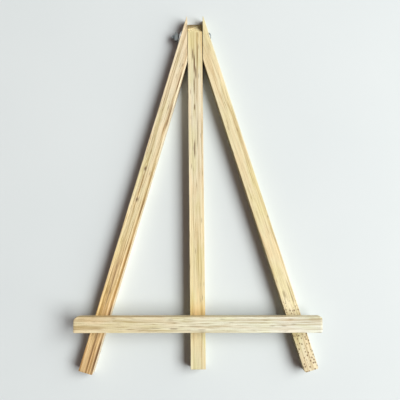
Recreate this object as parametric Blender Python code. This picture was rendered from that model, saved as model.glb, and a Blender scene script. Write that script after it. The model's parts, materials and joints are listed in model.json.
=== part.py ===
"""Small wooden display easel that holds a plate, a card or a picture.

Two splayed front legs carry a ledge bar, and a back leg swings between them on one through-bolt.
The easel is modelled folded and lying on its back. Metres, +X to its right, +Y towards its top,
+Z towards its front. The origin is under the middle of its outline, on the surface it lies on.
"""
from math import cos, pi, radians, sin, tan

import bmesh
import bpy
from mathutils import Vector

# Sticks: all the wood is sawn to one thickness.
TOTAL_LENGTH = 0.240
STICK_THICKNESS = 0.009
FRONT_LEG_WIDTH = 0.0095
BACK_LEG_WIDTH = 0.010
SPLAY = radians(17.1)
EASED_EDGE = 0.0004
PIECE_GAP = 0.0003

# Tips of the front legs: mitred to lie along the back leg, and blunted.
TIP_FLAT = 0.0004

# Back leg: its top end is sawn at 45 degrees, so nothing stands out in front when it opens.
PIVOT_BELOW_TIPS = 0.0130
BACK_LEG_ABOVE_PIVOT = 0.0108
BACK_FOOT_ABOVE_FRONT_FEET = 0.0030
TOP_CUT = radians(45)

# Ledge bar, fixed across the front of the two front legs.
BAR_LENGTH = 0.160
BAR_HEIGHT = 0.010
BAR_THICKNESS = 0.009
BAR_ABOVE_FEET = 0.0332

# Pivot hardware: an M3 x 25 pan-head machine screw, a hexagon nut and one loosely punched washer.
# The head is drawn into a spot face in the right leg, square to the screw.
BOLT_RADIUS = 0.0015
BOLT_LENGTH = 0.025
BOLT_END_CHAMFER = 0.0003
HEAD_RADIUS = 0.0028
HEAD_HEIGHT = 0.0021
HEAD_RIM = 0.0007
RECESS_LENGTH = 0.0030
RECESS_WIDTH = 0.0006
RECESS_DEPTH = 0.0011
BORE_RADIUS = 0.00165
SPOT_FACE_RADIUS = 0.0030
NUT_ACROSS_FLATS = 0.0055
NUT_THICKNESS = 0.0024
NUT_BORE_RADIUS = 0.0017
NUT_EASED_EDGE = 0.00025
WASHER_OUTER_RADIUS = 0.0040
WASHER_INNER_RADIUS = 0.00195
WASHER_THICKNESS = 0.0008
HARDWARE_GAP = 0.00015

# Brads that hold the bar, driven in from the back of each front leg.
BRAD_RADIUS = 0.0006
BRAD_LENGTH = 0.015
BRAD_HEAD_RADIUS = 0.0010
BRAD_HEAD_THICKNESS = 0.0005
BRAD_POINT = 0.0015
BRAD_SINK = 0.0003
BRAD_SPACING = 0.0044
BRAD_GAP = 0.0002

# Facets around the round pieces, and how the meshes are smoothed and eased.
BOLT_FACETS = 32
BRAD_FACETS = 16
DOME_STEPS = 5
NUT_SIDES = 6
SMOOTH_BELOW = radians(35)
EASE_ABOVE = radians(30)
WELD_DISTANCE = 1e-6

# Places worked out from the dimensions above.
FEET_Y = -TOTAL_LENGTH / 2
TIPS_Y = TOTAL_LENGTH / 2
PIVOT_Y = TIPS_Y - PIVOT_BELOW_TIPS
PIVOT_Z = STICK_THICKNESS / 2
BAR_Y = FEET_Y + BAR_ABOVE_FEET
BAR_BACK_Z = STICK_THICKNESS + PIECE_GAP
MITRE_X = BACK_LEG_WIDTH / 2 + PIECE_GAP
SHARP_TIP_ABOVE_PIVOT = PIVOT_BELOW_TIPS + TIP_FLAT / tan(SPLAY)
OUTER_FACE_X = MITRE_X + SHARP_TIP_ABOVE_PIVOT * tan(SPLAY)
WASHER_X = OUTER_FACE_X + (HARDWARE_GAP + WASHER_THICKNESS / 2) / cos(SPLAY)
NUT_SEAT_X = OUTER_FACE_X + (HARDWARE_GAP + WASHER_THICKNESS) / cos(SPLAY) + HARDWARE_GAP
NUT_X = NUT_SEAT_X + NUT_ACROSS_FLATS / 2 * tan(SPLAY)
SPOT_FACE_X = OUTER_FACE_X - SPOT_FACE_RADIUS * tan(SPLAY)
HEAD_X = SPOT_FACE_X + HARDWARE_GAP


def clear_scene():
    for old in list(bpy.data.objects):
        bpy.data.objects.remove(old, do_unlink=True)


def make_material(name, colour, roughness, metallic):
    material = bpy.data.materials.new(name)
    material.use_nodes = True
    shader = material.node_tree.nodes["Principled BSDF"]
    shader.inputs["Base Color"].default_value = (*colour, 1.0)
    shader.inputs["Roughness"].default_value = roughness
    shader.inputs["Metallic"].default_value = metallic
    return material


def add_object(name, mesh, material, parent=None):
    item = bpy.data.objects.new(name, mesh)
    item.data.materials.append(material)
    item.parent = parent
    bpy.context.scene.collection.objects.link(item)
    return item


def add_cutter(name, mesh, parent=None):
    cutter = bpy.data.objects.new(name, mesh)
    cutter.parent = parent
    cutter.hide_render = True
    cutter.display_type = "WIRE"
    bpy.context.scene.collection.objects.link(cutter)
    return cutter


def finish_mesh(name, shape):
    bmesh.ops.recalc_face_normals(shape, faces=shape.faces)
    mesh = bpy.data.meshes.new(name)
    shape.to_mesh(mesh)
    shape.free()
    return mesh


def extruded_mesh(name, corners, travel):
    """A flat outline pushed along one straight line."""
    shape = bmesh.new()
    outline = shape.faces.new([shape.verts.new(corner) for corner in corners])
    pushed = bmesh.ops.extrude_face_region(shape, geom=[outline])
    moved = [item for item in pushed["geom"] if isinstance(item, bmesh.types.BMVert)]
    bmesh.ops.translate(shape, verts=moved, vec=Vector(travel))
    return finish_mesh(name, shape)


def box_mesh(name, size):
    """A box about its own centre."""
    half_x, half_y, half_z = (side / 2 for side in size)
    corners = [(-half_x, -half_y, -half_z), (half_x, -half_y, -half_z),
               (half_x, half_y, -half_z), (-half_x, half_y, -half_z)]
    return extruded_mesh(name, corners, (0, 0, size[2]))


def turned_mesh(name, profile, facets, closed=False):
    """A profile of (radius, height) points turned about Z. A closed profile makes a ring."""
    shape = bmesh.new()
    points = [shape.verts.new((radius, 0, height)) for radius, height in profile]
    ends = points[1:] + points[:1] if closed else points[1:]
    edges = [shape.edges.new(pair) for pair in zip(points, ends)]
    bmesh.ops.spin(shape, geom=points + edges, axis=(0, 0, 1), cent=(0, 0, 0),
                   angle=2 * pi, steps=facets, use_duplicate=False)
    bmesh.ops.remove_doubles(shape, verts=shape.verts, dist=WELD_DISTANCE)
    mesh = finish_mesh(name, shape)
    mesh.shade_smooth()
    mesh.set_sharp_from_angle(angle=SMOOTH_BELOW)
    return mesh


def cylinder_mesh(name, radius, low, high, facets):
    return turned_mesh(name, [(0, low), (radius, low), (radius, high), (0, high)], facets)


def ease_edges(item, width):
    bevel = item.modifiers.new("eased_edges", "BEVEL")
    bevel.width = width
    bevel.segments = 2
    bevel.limit_method = "ANGLE"
    bevel.angle_limit = EASE_ABOVE


def cut(item, cutter):
    boolean = item.modifiers.new("cut_" + cutter.name, "BOOLEAN")
    boolean.operation = "DIFFERENCE"
    boolean.solver = "EXACT"
    boolean.object = cutter


def add_hinge():
    """The empty on the bolt's axis that carries everything turning with the front legs."""
    hinge = bpy.data.objects.new("front_frame_hinge", None)
    hinge.location = (0, PIVOT_Y, PIVOT_Z)
    hinge.empty_display_size = 0.01
    bpy.context.scene.collection.objects.link(hinge)
    return hinge


def add_pivot_cutter(name, radius, low, high):
    """A round cutter along X on the pivot's axis, between two distances from the easel's middle."""
    cutter = add_cutter(name, cylinder_mesh(name, radius, low, high, BOLT_FACETS))
    cutter.location = (0, PIVOT_Y, PIVOT_Z)
    cutter.rotation_euler = (0, pi / 2, 0)
    return cutter


def add_back_leg(bore):
    """A straight stick seen from its side: square foot, sloping top end."""
    foot = FEET_Y + BACK_FOOT_ABOVE_FRONT_FEET - PIVOT_Y
    back_top = BACK_LEG_ABOVE_PIVOT
    front_top = back_top - STICK_THICKNESS / tan(TOP_CUT)
    half_width = BACK_LEG_WIDTH / 2
    corners = [(-half_width, foot, -PIVOT_Z), (-half_width, back_top, -PIVOT_Z),
               (-half_width, front_top, PIVOT_Z), (-half_width, foot, PIVOT_Z)]
    mesh = extruded_mesh("back_leg", corners, (BACK_LEG_WIDTH, 0, 0))
    leg = add_object("back_leg", mesh, make_material("back_leg_wood", (0.80, 0.62, 0.38), 0.6, 0.0))
    leg.location = (0, PIVOT_Y, PIVOT_Z)
    ease_edges(leg, EASED_EDGE)
    cut(leg, bore)


def front_leg_corners(side):
    """Outline of a front leg, about the point of its centreline level with the bolt."""
    half = FRONT_LEG_WIDTH / 2
    sharp_tip = (SHARP_TIP_ABOVE_PIVOT - half * sin(SPLAY)) / cos(SPLAY)
    mitre_foot = sharp_tip - FRONT_LEG_WIDTH / tan(SPLAY)
    blunt_inset = TIP_FLAT / cos(SPLAY)
    blunt_outer = sharp_tip - blunt_inset / sin(SPLAY)
    blunt_inner = blunt_outer + TIP_FLAT * sin(SPLAY)
    foot = (FEET_Y - PIVOT_Y + half * sin(SPLAY)) / cos(SPLAY)
    inner_blunt_x = half - TIP_FLAT * cos(SPLAY)
    corners = [(half, foot), (half, blunt_outer), (inner_blunt_x, blunt_inner),
               (-half, mitre_foot), (-half, foot)]
    return [(side * x, y, -PIVOT_Z) for x, y in corners]


def front_leg_centre_x():
    """Distance from the easel's middle to a front leg's centreline, level with the bolt."""
    half = FRONT_LEG_WIDTH / 2
    sharp_tip = (SHARP_TIP_ABOVE_PIVOT - half * sin(SPLAY)) / cos(SPLAY)
    return MITRE_X - half * cos(SPLAY) + sharp_tip * sin(SPLAY)


def add_front_leg(name, side, colour, hinge, bore):
    mesh = extruded_mesh(name, front_leg_corners(side), (0, 0, STICK_THICKNESS))
    leg = add_object(name, mesh, make_material(name + "_wood", colour, 0.6, 0.0), hinge)
    leg.location = (side * front_leg_centre_x(), 0, 0)
    leg.rotation_euler = (0, 0, side * SPLAY)
    ease_edges(leg, EASED_EDGE)
    cut(leg, bore)
    return leg


def add_ledge_bar(hinge):
    mesh = box_mesh("ledge_bar", (BAR_LENGTH, BAR_HEIGHT, BAR_THICKNESS))
    wood = make_material("ledge_bar_wood", (0.84, 0.70, 0.48), 0.6, 0.0)
    bar = add_object("ledge_bar", mesh, wood, hinge)
    bar.location = (0, BAR_Y - PIVOT_Y, BAR_BACK_Z + BAR_THICKNESS / 2 - PIVOT_Z)
    ease_edges(bar, EASED_EDGE)
    return bar


def add_pivot_bolt(hinge, steel):
    """Pan-head screw turned about its own axis: the seat of its head is at height zero."""
    dome = []
    for step in range(DOME_STEPS + 1):
        turn = pi / 2 * step / DOME_STEPS
        dome.append((HEAD_RADIUS * cos(turn), HEAD_RIM + (HEAD_HEIGHT - HEAD_RIM) * sin(turn)))
    dome[-1] = (0, HEAD_HEIGHT)
    profile = [(0, -BOLT_LENGTH), (BOLT_RADIUS - BOLT_END_CHAMFER, -BOLT_LENGTH),
               (BOLT_RADIUS, BOLT_END_CHAMFER - BOLT_LENGTH), (BOLT_RADIUS, 0), (HEAD_RADIUS, 0)]
    bolt = add_object("pivot_bolt", turned_mesh("pivot_bolt", profile + dome, BOLT_FACETS), steel, hinge)
    bolt.location = (HEAD_X, 0, 0)
    bolt.rotation_euler = (0, pi / 2, 0)
    for name, size in (("recess_cutter_a", (RECESS_LENGTH, RECESS_WIDTH, 2 * RECESS_DEPTH)),
                       ("recess_cutter_b", (RECESS_WIDTH, RECESS_LENGTH, 2 * RECESS_DEPTH))):
        cutter = add_cutter(name, box_mesh(name, size), bolt)
        cutter.location = (0, 0, HEAD_HEIGHT)
        cut(bolt, cutter)


def add_pivot_nut(hinge, steel):
    corner_radius = NUT_ACROSS_FLATS / 2 / cos(pi / NUT_SIDES)
    turns = [2 * pi * side / NUT_SIDES for side in range(NUT_SIDES)]
    corners = [(corner_radius * cos(turn), corner_radius * sin(turn), 0) for turn in turns]
    mesh = extruded_mesh("pivot_nut", corners, (0, 0, NUT_THICKNESS))
    nut = add_object("pivot_nut", mesh, steel, hinge)
    nut.location = (-NUT_X, 0, 0)
    nut.rotation_euler = (0, -pi / 2, 0)
    ease_edges(nut, NUT_EASED_EDGE)
    bore = cylinder_mesh("nut_bore_cutter", NUT_BORE_RADIUS, -NUT_THICKNESS, 2 * NUT_THICKNESS,
                         BOLT_FACETS)
    cut(nut, add_cutter("nut_bore_cutter", bore, nut))


def add_washer(hinge, steel):
    """The washer flat against the left leg's sloping outer face, loose around the bolt."""
    half = WASHER_THICKNESS / 2
    profile = [(WASHER_INNER_RADIUS, -half), (WASHER_OUTER_RADIUS, -half),
               (WASHER_OUTER_RADIUS, half), (WASHER_INNER_RADIUS, half)]
    mesh = turned_mesh("pivot_washer", profile, BOLT_FACETS, closed=True)
    washer = add_object("pivot_washer", mesh, steel, hinge)
    washer.location = (-WASHER_X, 0, 0)
    washer.rotation_euler = (0, -pi / 2, -SPLAY)


def brad_profile(gap):
    """Profile of a brad from its head up to its point, grown all round by a gap."""
    shoulder = BRAD_HEAD_THICKNESS + gap
    point_start = BRAD_LENGTH - BRAD_POINT
    return [(0, -gap), (BRAD_HEAD_RADIUS + gap, -gap), (BRAD_HEAD_RADIUS + gap, shoulder),
            (BRAD_RADIUS + gap, shoulder), (BRAD_RADIUS + gap, point_start), (0, BRAD_LENGTH + gap)]


def add_brads(side_name, side, leg, bar, hinge, steel):
    """Two brads in line along the leg, where it crosses behind the bar."""
    for place, step in (("upper", 0.5), ("lower", -0.5)):
        name = f"{side_name}_{place}_brad"
        rise = BAR_Y - PIVOT_Y + step * BRAD_SPACING
        across = side * (front_leg_centre_x() - rise * tan(SPLAY))
        brad = add_object(name, turned_mesh(name, brad_profile(0), BRAD_FACETS), steel, hinge)
        brad.location = (across, rise, BRAD_SINK - PIVOT_Z)
        hole_profile = brad_profile(BRAD_GAP)
        hole_profile[0] = (0, -2 * BRAD_SINK)
        hole_profile[1] = (hole_profile[1][0], -2 * BRAD_SINK)
        hole_mesh = turned_mesh(name + "_hole", hole_profile, BRAD_FACETS)
        hole = add_cutter(name + "_hole_cutter", hole_mesh, brad)
        cut(leg, hole)
        cut(bar, hole)


def main():
    clear_scene()
    steel = make_material("zinc_plated_steel", (0.62, 0.64, 0.66), 0.3, 1.0)
    brad_steel = make_material("bright_brad_steel", (0.55, 0.55, 0.55), 0.35, 1.0)
    hinge = add_hinge()
    bore = add_pivot_cutter("pivot_bore_cutter", BORE_RADIUS, -2 * OUTER_FACE_X, 2 * OUTER_FACE_X)
    spot_face = add_pivot_cutter("spot_face_cutter", SPOT_FACE_RADIUS, SPOT_FACE_X, 2 * OUTER_FACE_X)
    add_back_leg(bore)
    bar = add_ledge_bar(hinge)
    left_leg = add_front_leg("left_front_leg", -1, (0.76, 0.56, 0.31), hinge, bore)
    right_leg = add_front_leg("right_front_leg", 1, (0.82, 0.68, 0.45), hinge, bore)
    cut(right_leg, spot_face)
    add_pivot_bolt(hinge, steel)
    add_pivot_nut(hinge, steel)
    add_washer(hinge, steel)
    add_brads("left", -1, left_leg, bar, hinge, brad_steel)
    add_brads("right", 1, right_leg, bar, hinge, brad_steel)


main()
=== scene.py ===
"""Looks of the small wooden display easel: sawn pine sticks, zinc-plated hardware, pale table, soft light.

Metres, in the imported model's own frame: +X to the easel's right, +Y towards its top, +Z out of its front.
Each stick is built in its own frame, in millimetres: X across it, Y along it, Z through its thickness.
"""

import json
import random
from dataclasses import dataclass
from math import cos, exp, pi, radians, sin, sqrt

import bmesh
import bpy
from mathutils import Euler, Matrix, Vector, noise


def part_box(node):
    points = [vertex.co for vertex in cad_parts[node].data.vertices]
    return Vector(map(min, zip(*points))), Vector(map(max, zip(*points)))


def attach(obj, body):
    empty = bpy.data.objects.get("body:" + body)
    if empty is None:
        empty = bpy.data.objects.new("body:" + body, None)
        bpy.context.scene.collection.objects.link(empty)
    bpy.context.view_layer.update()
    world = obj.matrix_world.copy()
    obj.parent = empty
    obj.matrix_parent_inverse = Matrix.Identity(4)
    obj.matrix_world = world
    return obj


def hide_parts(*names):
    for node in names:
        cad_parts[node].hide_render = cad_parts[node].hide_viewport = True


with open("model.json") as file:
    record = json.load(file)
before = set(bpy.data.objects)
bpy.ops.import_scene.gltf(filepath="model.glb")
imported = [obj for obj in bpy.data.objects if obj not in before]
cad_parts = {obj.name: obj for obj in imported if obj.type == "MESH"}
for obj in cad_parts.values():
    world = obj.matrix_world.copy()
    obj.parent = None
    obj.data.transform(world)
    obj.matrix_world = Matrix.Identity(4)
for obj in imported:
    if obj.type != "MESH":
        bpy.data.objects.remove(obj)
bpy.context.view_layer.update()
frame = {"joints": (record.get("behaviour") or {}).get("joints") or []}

MM = 0.001
FRONT_BODY = "front_frame"
BACK_BODY = "back_support"
SPLAY = radians(17.1)

# Camera: straight above the easel, a little towards its feet.
CAMERA_PLACE = (0.0022, -0.0305, 0.3721)
CAMERA_TILT = radians(3.87)
CAMERA_ROLL = radians(-0.6)
CAMERA_LENS = 49.1
SENSOR_WIDTH = 36.0

# Lights, both to the easel's right: a large soft window, and the weaker pale wall below it.
KEY_PLACE = (2.49, 0.10, 2.86)
KEY_SIZE = (3.80, 2.15)
KEY_POWER = 216.0
WALL_PLACE = (3.05, 0.10, 1.35)
WALL_SIZE = (4.20, 1.50)
WALL_POWER = 44.0
LIGHT_COLOUR = (1.0, 0.985, 0.965)
FILL_COLOUR = (1.0, 0.64, 0.59, 1.0)
FILL_STRENGTH = 0.13
STUDIO_COLOUR = (0.95, 0.98, 1.0, 1.0)
STUDIO_STRENGTH = 0.55
BACKDROP_COLOUR = (0.86, 0.88, 0.88, 1.0)
TABLE_REACH = 1.7
TABLE_TONES = ((0.632, 0.702, 0.716, 1.0), (0.652, 0.720, 0.732, 1.0))

# Sawn sticks
EASED_RADIUS = 0.28
ARC_POINTS = 5
FLAT_POINTS = 9
STATION_STEP = 1.5
SURFACE_WAVE = 0.05

# Pivot hardware, in millimetres
THREAD_PITCH = 0.5
THREAD_DEPTH = 0.29
BOLT_RADIUS = 1.5
THREADED_LENGTH = 12.0
TURNED_FACETS = 48
BORE_RADIUS = 1.65
BORE_REACH = 20.0
SPOT_FACE_RADIUS = 3.0
HARDWARE_GAP = 0.15
HEAD_RADIUS = 2.8
HEAD_HEIGHT = 2.1
TOP_CUT = radians(45)
BAR_ASKEW = radians(-0.5)
BACK_LEG_RUBS = 0.15
TIP_WORN = 0.12
BAR_SHORTER = 0.12
BRADS = ("left_upper_brad", "left_lower_brad", "right_upper_brad", "right_lower_brad")


# ---------------------------------------------------------------- places read from the frame

def box_mm(node):
    low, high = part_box(node)
    return low / MM, high / MM


PIVOT = Vector(frame["joints"][0]["pos_m"]) / MM
BACK_LOW, BACK_HIGH = box_mm("back_leg")
BAR_LOW, BAR_HIGH = box_mm("ledge_bar")
LEG_LOW, LEG_HIGH = box_mm("right_front_leg")
THICKNESS = BACK_HIGH.z - BACK_LOW.z
LEG_WIDTH = 9.5
MITRE_X = LEG_LOW.x
FEET_Y = LEG_LOW.y
TIPS_Y = LEG_HIGH.y
BOLT_LOW, BOLT_HIGH = box_mm("pivot_bolt")
HEAD_SEAT_X = BOLT_HIGH.x - HEAD_HEIGHT


# ---------------------------------------------------------------- small helpers

def add_object(name, mesh, place=(0, 0, 0), turn=(0, 0, 0)):
    """A piece whose mesh is in millimetres about its own origin; its place is in millimetres too."""
    mesh.transform(Matrix.Scale(MM, 4))
    item = bpy.data.objects.new(name, mesh)
    item.location = Vector(place) * MM
    item.rotation_euler = Euler(turn)
    bpy.context.scene.collection.objects.link(item)
    return item


def finish_piece(item, material, body, slot, node):
    item.data.materials.clear()
    item.data.materials.append(material)
    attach(item, body)
    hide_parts(node)


def mesh_from(shape, name, smooth_angle=40):
    bmesh.ops.recalc_face_normals(shape, faces=shape.faces)
    mesh = bpy.data.meshes.new(name)
    shape.to_mesh(mesh)
    shape.free()
    mesh.shade_smooth()
    mesh.set_sharp_from_angle(angle=radians(smooth_angle))
    return mesh


def apply_modifiers(item):
    """Turns the modified shape into the object's own mesh."""
    graph = bpy.context.evaluated_depsgraph_get()
    mesh = bpy.data.meshes.new_from_object(item.evaluated_get(graph))
    item.modifiers.clear()
    item.data = mesh


def boolean(item, others, operation="DIFFERENCE"):
    """Cuts an object by others, or keeps only what is inside them, and removes the others."""
    for other in others:
        modifier = item.modifiers.new("cut", "BOOLEAN")
        modifier.operation = operation
        modifier.object = other
    bpy.context.view_layer.update()
    apply_modifiers(item)
    for other in others:
        bpy.data.objects.remove(other, do_unlink=True)


def turned_shape(profile, facets=TURNED_FACETS):
    """A profile of (radius, height) points turned about Z, with both ends on the axis or closed on itself.

    A radius may also be a function of the turn, as on a screw thread.
    """
    shape = bmesh.new()
    rings = []
    for radius, height in profile:
        if radius == 0:
            rings.append([shape.verts.new((0, 0, height))])
            continue
        ring = []
        for step in range(facets):
            turn = 2 * pi * step / facets
            reach = radius(turn) if callable(radius) else radius
            ring.append(shape.verts.new((reach * cos(turn), reach * sin(turn), height)))
        rings.append(ring)
    pairs = list(zip(rings, rings[1:]))
    if len(rings[0]) > 1:
        pairs.append((rings[-1], rings[0]))
    for lower, upper in pairs:
        join_rings(shape, lower, upper)
    return shape


def join_rings(shape, lower, upper):
    count = max(len(lower), len(upper))
    for step in range(count):
        after = (step + 1) % count
        corners = [lower[step % len(lower)], lower[after % len(lower)],
                   upper[after % len(upper)], upper[step % len(upper)]]
        shape.faces.new(list(dict.fromkeys(corners)))


def smooth_step(value, low, high):
    share = min(max((value - low) / (high - low), 0.0), 1.0)
    return share * share * (3 - 2 * share)


# ---------------------------------------------------------------- shader helpers

class Tree:
    """A material's node tree, with one short call for each kind of step."""

    def __init__(self, name):
        self.material = bpy.data.materials.new(name)
        self.material.use_nodes = True
        self.tree = self.material.node_tree
        self.shader = self.tree.nodes["Principled BSDF"]

    def add(self, kind, **settings):
        node = self.tree.nodes.new(kind)
        for key, value in settings.items():
            setattr(node, key, value)
        return node

    def plug(self, value, socket):
        """Sets a socket to a number or colour, or links another socket to it."""
        if isinstance(value, bpy.types.NodeSocket):
            self.tree.links.new(value, socket)
        elif value is not None:
            socket.default_value = value

    def math(self, operation, *values, clamp=False):
        node = self.add("ShaderNodeMath", operation=operation, use_clamp=clamp)
        for value, socket in zip(values, node.inputs):
            self.plug(value, socket)
        return node.outputs[0]

    def scaled(self, vector, scale):
        node = self.add("ShaderNodeVectorMath", operation="MULTIPLY")
        self.plug(vector, node.inputs[0])
        node.inputs[1].default_value = scale
        return node.outputs[0]

    def added(self, first, second):
        node = self.add("ShaderNodeVectorMath", operation="ADD")
        self.plug(first, node.inputs[0])
        self.plug(second, node.inputs[1])
        return node.outputs[0]

    def noise(self, vector, detail=2.0, roughness=0.5, colour=False):
        node = self.add("ShaderNodeTexNoise")
        self.plug(vector, node.inputs["Vector"])
        node.inputs["Scale"].default_value = 1.0
        node.inputs["Detail"].default_value = detail
        node.inputs["Roughness"].default_value = roughness
        return node.outputs["Color" if colour else "Fac"]

    def cells(self, vector, randomness=0.9):
        """Distance to the nearest of many scattered points, and that point's own random number."""
        node = self.add("ShaderNodeTexVoronoi")
        self.plug(vector, node.inputs["Vector"])
        node.inputs["Scale"].default_value = 1.0
        node.inputs["Randomness"].default_value = randomness
        own, _, _ = self.split(node.outputs["Color"])
        return node.outputs["Distance"], own

    def range(self, value, low, high, low_out=0.0, high_out=1.0):
        """Maps low..high to low_out..high_out and stays between them outside it."""
        node = self.add("ShaderNodeMapRange")
        for given, socket in zip((value, low, high, low_out, high_out), node.inputs):
            self.plug(given, socket)
        return node.outputs[0]

    def ramp(self, value, stops):
        node = self.add("ShaderNodeValToRGB")
        elements = node.color_ramp.elements
        while len(elements) < len(stops):
            elements.new(0.5)
        for element, (position, shade) in zip(elements, stops):
            element.position = position
            element.color = shade if isinstance(shade, tuple) else (shade, shade, shade, 1.0)
        self.plug(value, node.inputs["Fac"])
        return node.outputs["Color"]

    def mix(self, share, first, second, blend="MIX"):
        node = self.add("ShaderNodeMix", data_type="RGBA", blend_type=blend)
        for value, socket in ((share, node.inputs[0]), (first, node.inputs[6]), (second, node.inputs[7])):
            self.plug(value, socket)
        return node.outputs[2]

    def grey(self, value):
        """A colour of equal parts from a number."""
        node = self.add("ShaderNodeCombineColor")
        for socket in node.inputs:
            self.plug(value, socket)
        return node.outputs[0]

    def split(self, vector):
        node = self.add("ShaderNodeSeparateXYZ")
        self.plug(vector, node.inputs[0])
        return node.outputs[0], node.outputs[1], node.outputs[2]

    def joined(self, x, y, z):
        node = self.add("ShaderNodeCombineXYZ")
        for value, socket in zip((x, y, z), node.inputs):
            self.plug(value, socket)
        return node.outputs[0]

    def bump(self, height, distance, strength):
        node = self.add("ShaderNodeBump")
        node.inputs["Strength"].default_value = strength
        node.inputs["Distance"].default_value = distance
        self.plug(height, node.inputs["Height"])
        self.plug(node.outputs["Normal"], self.shader.inputs["Normal"])


def rgb(red, green, blue):
    return (red, green, blue, 1.0)


# ---------------------------------------------------------------- pine

EVEN = rgb(1.0, 1.0, 1.0)
LINE_SHADE, LINE_LIGHT = rgb(0.62, 0.50, 0.33), rgb(1.10, 1.10, 1.12)
FIBRE_SHADE, FIBRE_LIGHT = rgb(0.60, 0.50, 0.36), rgb(1.12, 1.12, 1.13)
PLANER_STEP = 1.7
FLECK_COLOUR = rgb(0.14, 0.075, 0.028)
KNOT_COLOUR = rgb(0.11, 0.055, 0.022)
KNOT_STRETCH = 1.9
END_GRAIN_COLOUR = rgb(0.47, 0.28, 0.12)
# Painted shading of the sides: the legs' sides are darkened as painted shade, the bar's top and bottom
# lightened as painted light.
LEG_SIDE_PAINTED_SHADE = rgb(0.62, 0.62, 0.62)
BAR_SIDE_PAINTED_LIGHT = rgb(1.18, 1.08, 0.94)
# A pale colour painted on the left leg's sides as the light on its lit inner side.
PAINTED_LIT_SIDE_COLOUR = rgb(0.71, 0.64, 0.48)
# Painted light on the back leg's sloping top, which lies in the right leg's shade.
SLOPE_PAINTED_LIGHT = 0.30


@dataclass
class Pine:
    """How one stick was cut from its plank. Lengths are in millimetres, in the stick's own frame."""
    early: tuple
    late: tuple
    tones: tuple
    ring_width: float = 2.6
    ring_start: float = 0.0
    ring_unevenness: float = 2.4
    pith: tuple = (-30.0, -12.0)
    run_out: tuple = (0.02, 0.01)
    waver: float = 1.2
    ring_contrast: float = 0.7
    line_contrast: float = 0.5
    fibre_contrast: float = 1.0
    dash_share: float = 0.3
    knots: tuple = ()
    streaks: tuple = ()
    pale_bands: tuple = ()
    fleck_range: tuple = (0.0, 0.0)
    fleck_share: float = 0.0
    offset: tuple = (0.0, 0.0, 0.0)
    # Painted shading multiplied into the stick's sides, and how far the sides are mixed towards the painted
    # lit-side colour.
    painted_side_shading: tuple = LEG_SIDE_PAINTED_SHADE
    side_painted_light: float = 0.0


def knot_fields(shader, x, y, knots):
    """How far the rings bend around the knots, and how dark each spot is."""
    bend, dark = 0.0, 0.0
    for knot_x, knot_y, size in knots:
        across = shader.math("DIVIDE", shader.math("SUBTRACT", x, knot_x), size)
        along = shader.math("DIVIDE", shader.math("SUBTRACT", y, knot_y), size * KNOT_STRETCH)
        squared = shader.math("ADD", shader.math("MULTIPLY", across, across),
                              shader.math("MULTIPLY", along, along))
        wide = shader.math("EXPONENT", shader.math("MULTIPLY", squared, -0.16))
        tight = shader.math("EXPONENT", shader.math("MULTIPLY", squared, -0.9))
        bend = shader.math("ADD", bend, shader.math("MULTIPLY", wide, 0.55))
        dark = shader.math("ADD", dark, tight, clamp=True)
    return bend, dark


def streak_field(shader, x, y, streaks):
    """Thin dark pitch streaks: each has a place across, two ends along, a half-width and a strength."""
    dark = 0.0
    for streak_x, low, high, half_width, strength in streaks:
        middle, half_length = (low + high) / 2, (high - low) / 2
        across = shader.math("DIVIDE", shader.math("SUBTRACT", x, streak_x), half_width)
        along = shader.math("DIVIDE", shader.math("SUBTRACT", y, middle), half_length)
        spread = shader.math("ADD", shader.math("POWER", across, 4.0), shader.math("POWER", along, 4.0))
        spot = shader.math("EXPONENT", shader.math("MULTIPLY", spread, -1.0))
        dark = shader.math("ADD", dark, shader.math("MULTIPLY", spot, strength), clamp=True)
    return dark


def tone_along(shader, y, tones):
    """A tint that changes along the stick, from a list of (place, tint)."""
    tint = tones[0][1]
    for (start, _), (end, next_tint) in zip(tones, tones[1:]):
        tint = shader.mix(shader.range(y, start, end), tint, next_tint)
    return tint


def band_field(shader, x, bands):
    """Extra paleness of soft bands along the stick: each has a place across, a half-width and a strength."""
    extra = 1.0
    for band_x, half_width, strength in bands:
        across = shader.math("DIVIDE", shader.math("SUBTRACT", x, band_x), half_width)
        spot = shader.math("EXPONENT", shader.math("MULTIPLY", shader.math("MULTIPLY", across, across), -1.0))
        extra = shader.math("MULTIPLY_ADD", spot, strength, extra)
    return extra


def window(shader, value, low, high, soft):
    """One between low and high, fading to zero over a soft length outside them."""
    rise = shader.math("DIVIDE", shader.math("SUBTRACT", value, low - soft), soft, clamp=True)
    fall = shader.math("DIVIDE", shader.math("SUBTRACT", high + soft, value), soft, clamp=True)
    return shader.math("MULTIPLY", rise, fall)


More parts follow.
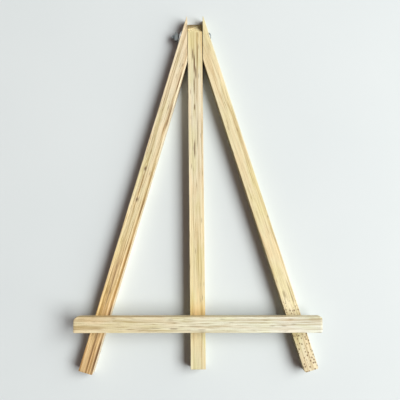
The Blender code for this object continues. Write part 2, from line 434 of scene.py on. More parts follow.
def pine_material(name, look):
    shader = Tree(name)
    coordinates = shader.add("ShaderNodeTexCoord")
    place = shader.scaled(coordinates.outputs["Object"], (1 / MM, 1 / MM, 1 / MM))
    x, y, z = shader.split(place)
    shifted = shader.added(place, look.offset)

    # Growth rings: distance from a pith that runs nearly along the stick, outside it.
    drift = shader.noise(shader.scaled(shifted, (0.07, 0.016, 0.07)), detail=3.0, roughness=0.45, colour=True)
    drift = shader.scaled(shader.added(drift, (-0.5, -0.5, -0.5)), (look.waver * 2,) * 3)
    drift_x, drift_y, _ = shader.split(drift)
    ring_x = shader.math("ADD", x, shader.math("MULTIPLY_ADD", y, look.run_out[0], -look.pith[0]))
    ring_z = shader.math("ADD", z, shader.math("MULTIPLY_ADD", y, look.run_out[1], -look.pith[1]))
    ring_x = shader.math("ADD", ring_x, drift_x)
    ring_z = shader.math("ADD", ring_z, drift_y)
    radius = shader.math("SQRT", shader.math("ADD", shader.math("MULTIPLY", ring_x, ring_x),
                                             shader.math("MULTIPLY", ring_z, ring_z)))
    slow_radius = shader.math("MULTIPLY", radius, 0.22)
    uneven = shader.noise(shader.joined(slow_radius, look.offset[0], 0.0), detail=1.0)
    bend, knot_dark = knot_fields(shader, x, y, look.knots)
    phase = shader.math("MULTIPLY_ADD", radius, 1 / look.ring_width,
                        shader.math("MULTIPLY_ADD", uneven, look.ring_unevenness, look.ring_start))
    phase = shader.math("ADD", phase, bend)
    late_share = shader.ramp(shader.math("FRACT", phase),
                             [(0.0, 0.15), (0.10, 0.0), (0.50, 0.08), (0.80, 0.75), (0.93, 1.0), (1.0, 0.15)])
    each_ring = shader.add("ShaderNodeTexWhiteNoise", noise_dimensions="1D")
    shader.plug(shader.math("FLOOR", phase), each_ring.inputs["W"])
    ring_strength = shader.math("MULTIPLY_ADD", each_ring.outputs["Value"], 0.5, 0.5)
    late = shader.math("MULTIPLY", shader.math("MULTIPLY", late_share, ring_strength), look.ring_contrast,
                       clamp=True)

    # Fibres, slow changes of tone, dark dashes, flecks and pitch streaks.
    warped = shader.added(shifted, shader.joined(drift_x, 0.0, drift_y))
    fibre = shader.noise(shader.scaled(warped, (2.8, 0.06, 2.8)), detail=5.0, roughness=0.7)
    line = shader.noise(shader.scaled(warped, (0.85, 0.012, 0.85)), detail=3.0, roughness=0.62)
    patch = shader.noise(shader.scaled(shifted, (0.16, 0.035, 0.16)), detail=3.0)
    colour = shader.mix(late, look.early, look.late)
    colour = shader.mix(1.0, colour, tone_along(shader, y, look.tones), blend="MULTIPLY")
    tint = shader.ramp(patch, [(0.34, rgb(1.03, 0.97, 0.93)), (0.5, EVEN), (0.66, rgb(0.95, 0.96, 0.84))])
    colour = shader.mix(1.0, colour, tint, blend="MULTIPLY")
    lines = shader.ramp(line, [(0.38, LINE_SHADE), (0.46, EVEN), (0.60, LINE_LIGHT)])
    fibres = shader.ramp(fibre, [(0.36, FIBRE_SHADE), (0.48, EVEN), (0.64, FIBRE_LIGHT)])
    colour = shader.mix(look.line_contrast, colour, shader.mix(1.0, colour, lines, blend="MULTIPLY"))
    colour = shader.mix(look.fibre_contrast, colour, fibres, blend="MULTIPLY")

    dash_away, dash_own = shader.cells(shader.scaled(warped, (0.95, 0.13, 0.5)))
    dash = shader.math("MULTIPLY", shader.range(dash_away, 0.10, 0.34, 1.0, 0.0),
                       shader.range(dash_own, 1.0 - look.dash_share, 1.05 - look.dash_share))
    colour = shader.mix(shader.math("MULTIPLY", dash, 0.55), colour, FLECK_COLOUR)
    if look.fleck_share:
        fleck_away, fleck_own = shader.cells(shader.scaled(warped, (0.85, 0.55, 0.55)), randomness=0.75)
        fleck = shader.math("MULTIPLY", shader.range(fleck_away, 0.24, 0.46, 1.0, 0.0),
                            shader.range(fleck_own, 0.25, 0.35))
        fleck = shader.math("MULTIPLY", fleck, window(shader, y, *look.fleck_range, 12.0))
        colour = shader.mix(shader.math("MULTIPLY", fleck, look.fleck_share), colour, FLECK_COLOUR)
    wandering_x = shader.math("ADD", x, shader.math("MULTIPLY", drift_x, 0.3))
    streak_dark = streak_field(shader, wandering_x, y, look.streaks)
    streak_dark = shader.math("MULTIPLY", streak_dark, shader.range(fibre, 0.30, 0.50, 0.75, 1.0))
    colour = shader.mix(streak_dark, colour, FLECK_COLOUR)
    colour = shader.mix(shader.math("MULTIPLY", knot_dark, 0.95), colour, KNOT_COLOUR)

    # Sawn ends are darker; the sides, edges and sloping top carry painted light and shade, set out below.
    side_normal, end_normal, _ = shader.split(coordinates.outputs["Normal"])
    end_share = shader.range(shader.math("ABSOLUTE", end_normal), 0.75, 0.97)
    colour = shader.mix(end_share, colour, shader.mix(0.55, colour, END_GRAIN_COLOUR, blend="MULTIPLY"))
    # Paler edges: partly rubbed wear, partly a painted highlight along them.
    edge = shader.add("ShaderNodeAttribute", attribute_name="edge").outputs["Fac"]
    edge_wear_and_highlight = shader.math("MULTIPLY", edge, shader.range(line, 0.3, 0.6, 0.4, 1.0))
    # Painted shading on the sides: the legs' sides darkened, the bar's top and bottom lightened, and the left
    # leg's sides mixed towards a pale painted lit colour.
    side_share = shader.range(shader.math("ABSOLUTE", side_normal), 0.35, 0.95)
    side_colour = shader.mix(1.0, colour, look.painted_side_shading, blend="MULTIPLY")
    painted_lit_side = shader.mix(1.0, lines, fibres, blend="MULTIPLY")
    painted_lit_side = shader.mix(1.0, painted_lit_side, PAINTED_LIT_SIDE_COLOUR, blend="MULTIPLY")
    side_colour = shader.mix(look.side_painted_light, side_colour, painted_lit_side)
    colour = shader.mix(side_share, colour, side_colour)
    paler = shader.math("MULTIPLY_ADD", edge_wear_and_highlight, 0.08, 1.0)
    # Painted light on the back leg's sloping top.
    slope_share = window(shader, shader.math("ABSOLUTE", end_normal), 0.66, 0.76, 0.05)
    paler = shader.math("MULTIPLY_ADD", slope_share, SLOPE_PAINTED_LIGHT, paler)
    paler = shader.math("MULTIPLY", paler, band_field(shader, x, look.pale_bands))
    colour = shader.mix(1.0, colour, shader.grey(paler), blend="MULTIPLY")
    shader.plug(colour, shader.shader.inputs["Base Color"])

    rough = shader.math("MULTIPLY_ADD", late, -0.12, 0.66)
    rough = shader.math("ADD", rough, shader.math("MULTIPLY_ADD", fibre, 0.22, -0.11))
    shader.plug(shader.math("ADD", rough, shader.math("MULTIPLY", end_share, 0.15), clamp=True),
                shader.shader.inputs["Roughness"])
    shader.shader.inputs["Specular IOR Level"].default_value = 0.35

    # Relief: fibres, raised late wood, sunken flecks and the planer's cross ripples.
    planer_turn = shader.math("MULTIPLY", y, 2 * pi / PLANER_STEP)
    ripple = shader.math("MULTIPLY", shader.math("SINE", planer_turn), 0.06)
    height = shader.math("ADD", shader.math("MULTIPLY", fibre, 0.9), shader.math("MULTIPLY", late, 0.35))
    height = shader.math("ADD", height, shader.math("MULTIPLY", line, 0.5))
    height = shader.math("SUBTRACT", height, shader.math("MULTIPLY", dash, 0.35))
    shader.bump(shader.math("ADD", height, ripple), distance=0.00018, strength=0.55)
    return shader.material


# ---------------------------------------------------------------- metal

def zinc_material(name, tint, roughness, metallic=1.0):
    """Bright zinc plate: slight blue and straw clouding, fine scratches, duller where it was handled."""
    shader = Tree(name)
    coordinates = shader.add("ShaderNodeTexCoord")
    place = shader.scaled(coordinates.outputs["Object"], (1 / MM, 1 / MM, 1 / MM))
    cloud = shader.noise(shader.scaled(place, (0.55, 0.55, 0.55)), detail=4.0)
    grain = shader.noise(shader.scaled(place, (6.0, 6.0, 6.0)), detail=3.0, roughness=0.7)
    scratch = shader.noise(shader.scaled(place, (1.2, 14.0, 3.0)), detail=2.0)
    blue, straw = rgb(0.78, 0.86, 0.94), rgb(0.95, 0.88, 0.74)
    hue = shader.ramp(cloud, [(0.30, blue), (0.50, rgb(0.93, 0.94, 0.95)), (0.72, straw)])
    colour = shader.mix(1.0, tint, hue, blend="MULTIPLY")
    dulled = shader.ramp(grain, [(0.45, 1.0), (0.75, 0.62)])
    colour = shader.mix(0.5, colour, dulled, blend="MULTIPLY")
    shader.plug(colour, shader.shader.inputs["Base Color"])
    shader.shader.inputs["Metallic"].default_value = metallic
    rough = shader.math("MULTIPLY_ADD", cloud, 0.20, roughness - 0.10)
    rough = shader.math("MULTIPLY_ADD", grain, 0.12, rough, clamp=True)
    shader.plug(rough, shader.shader.inputs["Roughness"])
    height = shader.math("ADD", shader.math("MULTIPLY", scratch, 0.4), shader.math("MULTIPLY", grain, 0.6))
    shader.bump(height, distance=0.00004, strength=0.35)
    return shader.material


# ---------------------------------------------------------------- shape of a stick

def section_rails(width, thickness):
    """Rails round a stick's cross-section: side of the corner, angle on its arc, or a share of a flat.

    The rails on a flat crowd towards its edges, so that only the eased corners look rounded.
    """
    rails = []
    corners = [(1, 1, 0.5), (1, -1, 0.0), (-1, -1, -0.5), (-1, 1, -1.0)]
    for index, (side_x, side_z, start) in enumerate(corners):
        for step in range(ARC_POINTS):
            angle = pi * (start - 0.5 * step / (ARC_POINTS - 1))
            rails.append(("arc", index, side_x, side_z, angle))
        next_x, next_z, _ = corners[(index + 1) % 4]
        for step in range(1, FLAT_POINTS + 1):
            share = 0.5 - 0.5 * cos(pi * step / (FLAT_POINTS + 1))
            rails.append(("flat", index, (side_x, next_x), (side_z, next_z), share))
    return rails


def make_nicks(chance, low, high):
    """Small bruises on the long edges: (corner, place, half-length, depth)."""
    nicks = []
    for corner in range(4):
        for _ in range(chance.randint(4, 7)):
            place = chance.uniform(low, high)
            half_length = chance.uniform(0.6, 2.4)
            nicks.append((corner, place, half_length, chance.uniform(0.08, 0.34)))
    return nicks


def corner_radius(corner, y, seed, nicks):
    wander = noise.noise(Vector((y * 0.045, corner * 7.3, seed * 3.1)))
    radius = EASED_RADIUS * (1.0 + 0.55 * wander)
    for nick_corner, place, half_length, depth in nicks:
        if nick_corner == corner:
            radius += depth * exp(-((y - place) / half_length) ** 2)
    return max(radius, 0.12)


def inward_wave(y, across, face, seed):
    """How far a face dips below flat, never above it."""
    bump = noise.noise(Vector((y * 0.035, across * 0.2, seed * 5.7 + face * 2.9)))
    return SURFACE_WAVE * (0.5 + 0.5 * bump)


def rail_point(rail, y, half_x, half_z, seed, nicks, inset):
    half_x, half_z = half_x - inset, half_z - inset
    kind, index, side_x, side_z, place = rail
    if kind == "arc":
        radius = corner_radius(index, y, seed, nicks)
        wave = inward_wave(y, index, 4, seed)
        x = side_x * (half_x - radius - wave) + radius * cos(place)
        z = side_z * (half_z - radius - wave) + radius * sin(place)
        return x, z, 1.0
    reach_x = half_x - corner_radius(index, y, seed, nicks)
    reach_z = half_z - corner_radius(index, y, seed, nicks)
    share = place * 2 - 1
    if side_x[0] == side_x[1]:
        z = side_z[0] * reach_z * -share
        return side_x[0] * (half_x - inward_wave(y, z, index, seed)), z, edge_fade(abs(share))
    x = side_x[0] * reach_x * -share
    return x, side_z[0] * (half_z - inward_wave(y, x, index, seed)), edge_fade(abs(share))


def edge_fade(share):
    return max(0.0, (share - 0.55) / 0.45) * 0.6


def stick_mesh(name, width, thickness, foot, top, seed, foot_ease=0.35, top_ease=0.2):
    """A sawn stick. foot and top give its ends' heights for each place across it."""
    chance = random.Random(seed)
    rails = section_rails(width, thickness)
    half_x, half_z = width / 2, thickness / 2
    nicks = make_nicks(chance, foot(0), top(0))
    length = top(0) - foot(0)
    eases = [(0.0, foot_ease), (0.3 * foot_ease, 0.3 * foot_ease), (foot_ease, 0.0)]
    stations = [("foot", rise, inset) for rise, inset in eases]
    count = int((length - 4) / STATION_STEP)
    stations += [("share", step / count, 0.0) for step in range(1, count)]
    stations += [("top", rise, inset) for rise, inset in
                 ((top_ease, 0.0), (0.3 * top_ease, 0.3 * top_ease), (0.0, top_ease))]
    shape = bmesh.new()
    edge = shape.verts.layers.float.new("edge")
    rings = []
    for kind, where, inset in stations:
        ring = []
        for rail in rails:
            x, _, _ = rail_point(rail, 0.0, half_x, half_z, seed, (), inset)
            low, high = foot(x), top(x)
            y = {"foot": low + where, "top": high - where, "share": low + (high - low) * where}[kind]
            x, z, edge_mark = rail_point(rail, y, half_x, half_z, seed, nicks, inset)
            vert = shape.verts.new((x, y, z))
            vert[edge] = 1.0 if inset or where == 0 else edge_mark
            ring.append(vert)
        rings.append(ring)
    for lower, upper in zip(rings, rings[1:]):
        join_rings(shape, lower, upper)
    for ring in (rings[0], rings[-1]):
        cap_end(shape, ring)
    return mesh_from(shape, name)


def cap_end(shape, ring):
    """Closes an end with strips from the front face to the back face, and one face at each side."""
    run = ARC_POINTS + FLAT_POINTS
    right = ring[0:run + ARC_POINTS]
    back = ring[run + ARC_POINTS - 1:2 * run + 1]
    left = ring[2 * run:3 * run + ARC_POINTS]
    front = ring[3 * run + ARC_POINTS - 1:] + ring[:1]
    shape.faces.new(right)
    shape.faces.new(left)
    front = front[::-1]
    for step in range(len(front) - 1):
        shape.faces.new([front[step], front[step + 1], back[step + 1], back[step]])


def rounded_end(end, direction, width, radius_low, radius_high):
    """An end's height across the stick, with its two corners rounded. direction is 1 at the top end."""
    def height(x):
        radius = radius_high if x > 0 else radius_low
        into = abs(x) - (width / 2 - radius)
        if into <= 0:
            return end
        return end - direction * (radius - sqrt(max(radius * radius - into * into, 0.0)))
    return height


def pivot_cutter(radius, low, high):
    """A round cutter along X on the pivot's axis, between two distances from the easel's middle."""
    profile = [(0, low), (radius, low), (radius, high), (0, high)]
    return add_object("pivot_cutter", mesh_from(turned_shape(profile), "pivot_cutter"), PIVOT, (0, pi / 2, 0))


def nail_dimple(brad):
    """The shallow pit a brad's head has pressed into the back of its leg."""
    low, high = box_mm(brad)
    deep = low.z + 0.3
    profile = [(0, -1.0), (1.35, -1.0), (1.25, 0.0), (1.08, deep - 0.2), (0.8, deep), (0, deep)]
    middle = (low + high) / 2
    return add_object("nail_dimple", mesh_from(turned_shape(profile), "nail_dimple"), (middle.x, middle.y, 0))


# ---------------------------------------------------------------- the four sticks

LEFT_PINE = Pine(early=rgb(0.705, 0.615, 0.365), late=rgb(0.455, 0.340, 0.155),
                 tones=((-50.0, rgb(0.95, 1.00, 1.17)), (-132.0, rgb(0.94, 0.97, 0.98)),
                        # The warmer, darker tone at -192, just above the bar, is painted shade from the bar.
                        (-192.0, rgb(1.04, 0.91, 0.82)), (-232.0, rgb(0.87, 0.74, 0.63))),
                 ring_width=4.6, ring_start=0.40, ring_unevenness=0.0,
                 pith=(-36.0, 9.0), run_out=(0.012, 0.01), waver=0.6, ring_contrast=1.0,
                 pale_bands=((-3.6, 0.8, 0.08), (3.5, 1.1, 0.16)),
                 line_contrast=1.0, fibre_contrast=1.0, dash_share=0.30,
                 knots=((-1.3, -96.0, 0.80), (-0.7, -117.5, 0.75)),
                 streaks=((3.3, -41.0, -26.0, 0.45, 0.9), (3.7, -67.0, -48.0, 0.42, 0.9),
                          (2.4, -22.5, -20.0, 0.5, 0.5), (3.8, -86.0, -76.0, 0.35, 0.35),
                          (4.1, -130.0, -117.0, 0.42, 0.8), (4.1, -176.0, -146.0, 0.35, 0.4),
                          (-0.1, -192.0, -158.0, 0.45, 0.65), (0.3, -236.0, -204.0, 0.50, 0.75),
                          (4.0, -206.0, -188.0, 0.65, 0.9), (4.0, -237.0, -210.0, 0.90, 1.0),
                          (2.3, -236.0, -222.0, 0.40, 0.5), (-3.4, -246.0, -221.0, 1.7, 0.15)),
                 offset=(13.0, 41.0, 7.0), side_painted_light=0.65)
RIGHT_PINE = Pine(early=rgb(0.720, 0.654, 0.404), late=rgb(0.574, 0.441, 0.212),
                  tones=((2.0, rgb(0.90, 0.915, 0.88)), (-26.0, rgb(0.97, 0.98, 1.02)),
                         (-160.0, rgb(0.97, 0.97, 0.97)), (-180.0, rgb(1.04, 1.06, 1.15)),
                         (-194.0, rgb(1.04, 1.07, 1.20)), (-206.0, rgb(0.95, 0.97, 1.04)),
                         (-232.0, rgb(0.96, 1.01, 1.14))),
                  ring_width=3.1, pith=(24.0, -21.0), run_out=(0.03, 0.02), waver=1.6, ring_contrast=0.5,
                  line_contrast=0.45, fibre_contrast=0.6, dash_share=0.10,
                  pale_bands=((2.8, 0.9, 0.09),),
                  # The two dark streaks just above the bar are painted shade from the bar.
                  streaks=((2.6, -192.0, -176.0, 0.5, 0.5), (-1.6, -186.0, -181.0, 0.8, 0.5)),
                  fleck_range=(-260.0, -195.0), fleck_share=0.95, offset=(71.0, 5.0, 23.0))
BACK_PINE = Pine(early=rgb(0.707, 0.641, 0.386), late=rgb(0.547, 0.404, 0.170),
                 tones=((-4.0, rgb(0.94, 0.94, 0.90)), (-30.0, rgb(0.97, 1.03, 1.26)),
                        (-80.0, rgb(0.96, 1.0, 1.20)), (-130.0, rgb(0.98, 0.98, 1.02)),
                        # The orange tone at -187 just above the bar and the darker tone at -202 are painted
                        # shade from the bar.
                        (-178.0, rgb(0.98, 0.98, 0.97)), (-187.0, rgb(0.98, 0.84, 0.68)),
                        (-202.0, rgb(0.90, 0.92, 0.94)), (-222.0, rgb(0.92, 0.98, 1.04))),
                 pale_bands=((-4.0, 0.7, 0.12), (4.4, 0.6, 0.06)),
                 ring_width=3.4, pith=(-44.0, 16.0), run_out=(0.006, 0.012), waver=0.8, ring_contrast=0.5,
                 line_contrast=0.6, fibre_contrast=0.6, dash_share=0.22,
                 streaks=((-0.6, -26.0, -14.0, 0.50, 1.0), (0.4, -30.0, -23.0, 0.45, 0.8),
                          (-0.8, -41.0, -30.0, 0.40, 0.8), (-0.6, -52.0, -48.0, 0.45, 0.9),
                          (-0.9, -84.0, -73.0, 0.45, 0.9), (1.2, -77.0, -58.0, 0.35, 0.55),
                          (-1.6, -17.0, -10.0, 0.45, 0.8), (1.5, -20.0, -6.0, 0.35, 0.5)),
                 offset=(5.0, 83.0, 51.0))
BAR_PINE = Pine(early=rgb(0.686, 0.645, 0.440), late=rgb(0.498, 0.402, 0.218),
                tones=((-80.0, rgb(0.97, 0.93, 0.87)), (-36.0, rgb(0.94, 0.94, 0.95)),
                       (-10.0, rgb(0.97, 1.02, 1.10)), (30.0, rgb(1.0, 1.10, 1.30)),
                       (60.0, rgb(1.02, 1.12, 1.38)), (80.0, rgb(1.02, 1.14, 1.42))),
                ring_width=2.7, pith=(-19.0, -26.0), run_out=(-0.06, 0.03), waver=1.6, ring_contrast=0.5,
                line_contrast=0.7, fibre_contrast=0.9, dash_share=0.25,
                streaks=((2.2, -18.0, -13.0, 0.35, 0.85), (2.0, -30.0, -24.0, 0.3, 0.5),
                         (2.8, 0.0, 5.0, 0.3, 0.5), (0.6, -6.0, 4.0, 0.3, 0.45)),
                offset=(54.0, 19.0, 90.0), painted_side_shading=BAR_SIDE_PAINTED_LIGHT)


def add_front_leg(name, side, look, seed, foot_radii):
    """A front leg in its own frame. The left one is the right one mirrored, with a look of its own."""
    half = LEG_WIDTH / 2
    foot_y = (FEET_Y - PIVOT.y + half * sin(SPLAY)) / cos(SPLAY)
    centre_x = LEG_HIGH.x - half * cos(SPLAY) + foot_y * sin(SPLAY)

    def mitre(x):
        """Height of the sloping top: a plane along the back leg, cut short just below the sharp tip."""
        across = side * x
        slope = (centre_x + across * cos(SPLAY) - MITRE_X) / sin(SPLAY)
        blunt = (TIPS_Y - TIP_WORN - PIVOT.y - across * sin(SPLAY)) / cos(SPLAY)
        return min(slope, blunt)

    foot = rounded_end(foot_y, -1, LEG_WIDTH, *foot_radii)
    mesh = stick_mesh(name + "_stick", LEG_WIDTH, THICKNESS, foot, mitre, seed, 0.3, 0.05)
    leg = add_object(name + "_stick", mesh, (side * centre_x, PIVOT.y, PIVOT.z), (0, 0, side * SPLAY))
    cutters = [pivot_cutter(BORE_RADIUS, -BORE_REACH, BORE_REACH)]
    cutters += [nail_dimple(brad) for brad in BRADS if brad.split("_")[0] == name.split("_")[0]]
    if side > 0:
        cutters.append(pivot_cutter(SPOT_FACE_RADIUS, HEAD_SEAT_X - HARDWARE_GAP, BORE_REACH))
    boolean(leg, cutters)
    finish_piece(leg, pine_material(name + "_pine", look), FRONT_BODY, name.split("_")[0] + "_leg_wood", name)


def add_back_leg():
    width = BACK_HIGH.x - BACK_LOW.x
    foot_y, top_y = BACK_LOW.y - PIVOT.y, BACK_HIGH.y - PIVOT.y
    mesh = stick_mesh("back_leg_stick", width, THICKNESS, lambda x: foot_y, lambda x: top_y, 31, 0.3)
    leg = add_object("back_leg_stick", mesh, PIVOT - Vector((BACK_LEG_RUBS, 0, 0)))
    reach = THICKNESS * 4
    wedge = bmesh.new()
    bmesh.ops.create_cube(wedge, size=reach)
    normal = Vector((0, cos(TOP_CUT), sin(TOP_CUT)))
    back_edge = Vector((0, BACK_HIGH.y - 0.1, BACK_LOW.z))
    middle = back_edge + normal * reach / 2
    cutter = add_object("slope_cutter", mesh_from(wedge, "slope"), middle, (TOP_CUT, 0, 0))
    boolean(leg, [cutter, pivot_cutter(BORE_RADIUS, -BORE_REACH, BORE_REACH)])
    finish_piece(leg, pine_material("back_leg_pine", BACK_PINE), BACK_BODY, "back_leg_wood", "back_leg")


def add_ledge_bar():
    """The bar's own Y runs along the easel's X, and its own X points to the easel's feet."""
    height, length = BAR_HIGH.y - BAR_LOW.y, BAR_HIGH.x - BAR_LOW.x
    back_z = BACK_HIGH.z + 0.03
    depth = BAR_HIGH.z - back_z
    end = length / 2 - BAR_SHORTER
    foot = rounded_end(-end, -1, height, 2.6, 0.7)
    top = rounded_end(end, 1, height, 1.2, 0.9)
    mesh = stick_mesh("ledge_bar_stick", height, depth, foot, top, 77, 0.35, 0.5)
    place = ((BAR_LOW.x + BAR_HIGH.x) / 2, (BAR_LOW.y + BAR_HIGH.y) / 2, back_z + depth / 2)
    bar = add_object("ledge_bar_stick", mesh, place, (0, 0, -pi / 2 + BAR_ASKEW))
    finish_piece(bar, pine_material("ledge_bar_pine", BAR_PINE), FRONT_BODY, "ledge_bar_wood", "ledge_bar")


# ---------------------------------------------------------------- pivot hardware and brads

def thread_radius(height, start, end):
    """Radius of the screw thread at one height, as a function of the turn about its axis."""
    fade = smooth_step(height, start, start + 2 * THREAD_PITCH) * smooth_step(end - height, 0.0, 0.6)
    crest = BOLT_RADIUS - 0.35 * (1.0 - smooth_step(end - height, 0.0, 0.45))

    def radius(turn):
        share = (height / THREAD_PITCH - turn / (2 * pi)) % 1.0
        groove = min(1.0, 1.6 * abs(2 * share - 1))
        return crest - THREAD_DEPTH * fade * (1.0 - groove)
    return radius


def recess_arm(turn):
    """One arm of the cross recess: a slot that narrows as it goes down."""
    shape = bmesh.new()
    rings = []
    for half_length, half_width, height in ((1.55, 0.36, HEAD_HEIGHT + 0.5), (1.40, 0.31, HEAD_HEIGHT - 0.1),
                                            (0.45, 0.18, HEAD_HEIGHT - 1.3)):
        corners = ((1, 1), (-1, 1), (-1, -1), (1, -1))
        rings.append([shape.verts.new((a * half_length, b * half_width, height)) for a, b in corners])
    for lower, upper in zip(rings, rings[1:]):
        join_rings(shape, lower, upper)
    shape.faces.new(rings[0])
    shape.faces.new(rings[-1])
    return add_object("recess_arm", mesh_from(shape, "recess_arm"), (0, 0, 0), (0, 0, turn))


def add_bolt(material):
    """Its own Z runs towards the head, whose seat is at zero. The head reaches down to its spot face."""
    end = HEAD_SEAT_X - BOLT_LOW.x
    start = end - THREADED_LENGTH
    profile = [(0, -end), (BOLT_RADIUS - 0.38, -end)]
    rows = int(THREADED_LENGTH / THREAD_PITCH * 7)
    heights = [end - 0.05 - THREADED_LENGTH * row / rows for row in range(rows)]
    profile += [(thread_radius(height, start, end), -height) for height in heights]
    profile += [(BOLT_RADIUS * 0.93, -start + 0.2), (BOLT_RADIUS * 0.93, -0.5), (BOLT_RADIUS, -0.25),
                (BOLT_RADIUS + 0.08, -HARDWARE_GAP), (HEAD_RADIUS - 0.15, -HARDWARE_GAP),
                (HEAD_RADIUS, -HARDWARE_GAP + 0.12), (HEAD_RADIUS, 0.55)]
    for step in range(1, 10):
        turn = pi / 2 * step / 10
        profile.append((HEAD_RADIUS * cos(turn) ** 0.8, 0.55 + (HEAD_HEIGHT - 0.55) * sin(turn)))
    profile.append((0, HEAD_HEIGHT))
    bolt = add_object("pivot_screw", mesh_from(turned_shape(profile), "pivot_screw", 35))
    boolean(bolt, [recess_arm(0.4), recess_arm(0.4 + pi / 2)])
    bolt.location = Vector((HEAD_SEAT_X, PIVOT.y, PIVOT.z)) * MM
    bolt.rotation_euler = (0, pi / 2, 0)
    finish_piece(bolt, material, FRONT_BODY, "zinc_steel", "pivot_bolt")


def add_nut(material):
    low, high = box_mm("pivot_nut")
    thickness, across = high.x - low.x, high.y - low.y
    corner = across / 2 / cos(pi / 6)
    hexagon = turned_shape([(0, 0), (corner, 0), (corner, thickness), (0, thickness)], 6)
    nut = add_object("hex_nut", mesh_from(hexagon, "hex_nut"))
    inside, rim = across / 2 - 0.04, 0.30
    crown = [(0, 0), (inside, 0), (corner + 0.02, rim), (corner + 0.02, thickness - rim), (inside, thickness),
             (0, thickness)]
    sink, bore = BOLT_RADIUS + 0.30, BOLT_RADIUS + 0.04
    hole = [(0, -1), (sink, -1), (sink, 0), (bore, 0.28), (bore, thickness - 0.28), (sink, thickness),
            (sink, thickness + 1), (0, thickness + 1)]
    boolean(nut, [add_object("crown", mesh_from(turned_shape(crown, 96), "crown"))], "INTERSECT")
    boolean(nut, [add_object("hole", mesh_from(turned_shape(hole), "hole"))])
    ease_edges(nut, 0.07)
    nut.location = Vector((low.x, PIVOT.y, PIVOT.z)) * MM
    nut.rotation_euler = (0, pi / 2, 0)
    finish_piece(nut, material, FRONT_BODY, "zinc_steel", "pivot_nut")


def ease_edges(item, width):
    bevel = item.modifiers.new("eased", "BEVEL")
    bevel.width = width * MM
    bevel.segments = 2
    bevel.limit_method = "ANGLE"
    bevel.angle_limit = radians(25)
    bpy.context.view_layer.update()
    apply_modifiers(item)
    item.data.shade_smooth()
    item.data.set_sharp_from_angle(angle=radians(35))


def add_washer(material):
    """Punched from strip: rounded over on its outer side, with a sharp rim against the leg."""
    low, high = box_mm("pivot_washer")
    outer = (high.z - low.z) / 2
    inner, thick = 1.95, 0.80
    profile = [(inner, 0.10), (inner + 0.10, 0.0), (outer - 0.05, 0.0), (outer, 0.05), (outer, thick - 0.26),
               (outer - 0.07, thick - 0.11), (outer - 0.20, thick - 0.02), (outer - 0.34, thick),
               (inner + 0.26, thick), (inner + 0.08, thick - 0.06), (inner, thick - 0.22)]
    middle = (low + high) / 2
    mesh = mesh_from(turned_shape(profile), "punched_washer")
    outward = Vector((-cos(SPLAY), sin(SPLAY), 0))
    place = middle - outward * (thick / 2 + HARDWARE_GAP)
    washer = add_object("punched_washer", mesh, place, (0, -pi / 2, -SPLAY))
    finish_piece(washer, material, FRONT_BODY, "zinc_steel", "pivot_washer")


def add_brad(name, material):
    low, high = box_mm(name)
    head, length = (high.x - low.x) / 2, high.z - low.z
    shank = 0.6 * head
    profile = [(0, 0), (head * 0.55, 0.02), (head * 0.88, 0.10), (head, 0.24), (head * 0.97, 0.42),
               (shank, 0.52)]
    for groove in range(4):
        height = 0.9 + 0.45 * groove
        profile += [(shank, height), (shank * 0.90, height + 0.12), (shank, height + 0.24)]
    profile += [(shank, length - 1.6), (shank * 0.62, length - 0.8), (0, length)]
    middle = (low + high) / 2
    brad = add_object(name + "_wire", mesh_from(turned_shape(profile, 24), name), (middle.x, middle.y, low.z))
    finish_piece(brad, material, FRONT_BODY, "brad_steel", name)


# ---------------------------------------------------------------- table, light and camera

def add_table():
    shape = bmesh.new()
    bmesh.ops.create_grid(shape, x_segments=1, y_segments=1, size=TABLE_REACH)
    table = bpy.data.objects.new("table", mesh_from(shape, "table"))
    bpy.context.scene.collection.objects.link(table)
    shader = Tree("pale_table")
    coordinates = shader.add("ShaderNodeTexCoord")
    cloud = shader.noise(shader.scaled(coordinates.outputs["Object"], (9.0, 9.0, 9.0)), detail=3.0)
    colour = shader.ramp(cloud, [(0.3, TABLE_TONES[0]), (0.7, TABLE_TONES[1])])
    shader.plug(colour, shader.shader.inputs["Base Color"])
    shader.shader.inputs["Roughness"].default_value = 0.55
    shader.shader.inputs["Specular IOR Level"].default_value = 0.25
    table.data.materials.append(shader.material)


def add_light(name, place, size, power):
    light = bpy.data.lights.new(name, "AREA")
    light.shape = "RECTANGLE"
    light.size, light.size_y = size
    light.energy = power
    light.color = LIGHT_COLOUR
    lamp = bpy.data.objects.new(name, light)
    lamp.location = place
    lamp.rotation_euler = (-Vector(place)).to_track_quat("-Z", "Y").to_euler()
    bpy.context.scene.collection.objects.link(lamp)


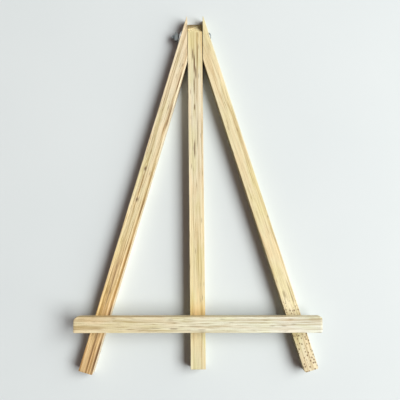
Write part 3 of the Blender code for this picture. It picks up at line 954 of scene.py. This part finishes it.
def add_world():
    """Weak warm fill for the shadows, a brighter room for the metal to mirror, and a pale backdrop."""
    world = bpy.data.worlds.new("studio")
    world.use_nodes = True
    tree = world.node_tree
    fill = tree.nodes["Background"]
    fill.inputs["Color"].default_value = FILL_COLOUR
    fill.inputs["Strength"].default_value = FILL_STRENGTH
    backdrop = tree.nodes.new("ShaderNodeBackground")
    backdrop.inputs["Color"].default_value = BACKDROP_COLOUR
    studio = tree.nodes.new("ShaderNodeBackground")
    studio.inputs["Color"].default_value = STUDIO_COLOUR
    studio.inputs["Strength"].default_value = STUDIO_STRENGTH
    ray = tree.nodes.new("ShaderNodeLightPath")
    shown = fill
    for seen_by, background in (("Is Glossy Ray", studio), ("Is Camera Ray", backdrop)):
        chosen = tree.nodes.new("ShaderNodeMixShader")
        tree.links.new(ray.outputs[seen_by], chosen.inputs[0])
        tree.links.new(shown.outputs[0], chosen.inputs[1])
        tree.links.new(background.outputs[0], chosen.inputs[2])
        shown = chosen
    tree.links.new(shown.outputs[0], tree.nodes["World Output"].inputs["Surface"])
    bpy.context.scene.world = world


def add_camera():
    data = bpy.data.cameras.new("camera")
    data.lens = CAMERA_LENS
    data.sensor_width = SENSOR_WIDTH
    data.clip_start = 0.01
    camera = bpy.data.objects.new("camera", data)
    turn = Matrix.Rotation(CAMERA_TILT, 4, "X") @ Matrix.Rotation(CAMERA_ROLL, 4, "Z")
    camera.matrix_world = Matrix.Translation(CAMERA_PLACE) @ turn
    bpy.context.scene.collection.objects.link(camera)
    bpy.context.scene.camera = camera
    bpy.context.scene.view_settings.view_transform = "Standard"


add_camera()
add_light("window", KEY_PLACE, KEY_SIZE, KEY_POWER)
add_light("wall", WALL_PLACE, WALL_SIZE, WALL_POWER)
add_world()
add_table()
add_back_leg()
add_front_leg("left_front_leg", -1, LEFT_PINE, 11, (0.3, 0.4))
add_front_leg("right_front_leg", 1, RIGHT_PINE, 53, (1.6, 0.9))
add_ledge_bar()
add_bolt(zinc_material("dull_zinc", rgb(0.34, 0.36, 0.36), 0.34))
# The nut's dark tint is painted shade.
add_nut(zinc_material("nut_painted_shade_zinc", rgb(0.34, 0.36, 0.35), 0.38))
add_washer(zinc_material("bright_zinc", rgb(0.97, 0.98, 0.95), 0.50, 0.45))
wire = zinc_material("drawn_wire", rgb(0.66, 0.65, 0.63), 0.40)
for brad_name in BRADS:
    add_brad(brad_name, wire)
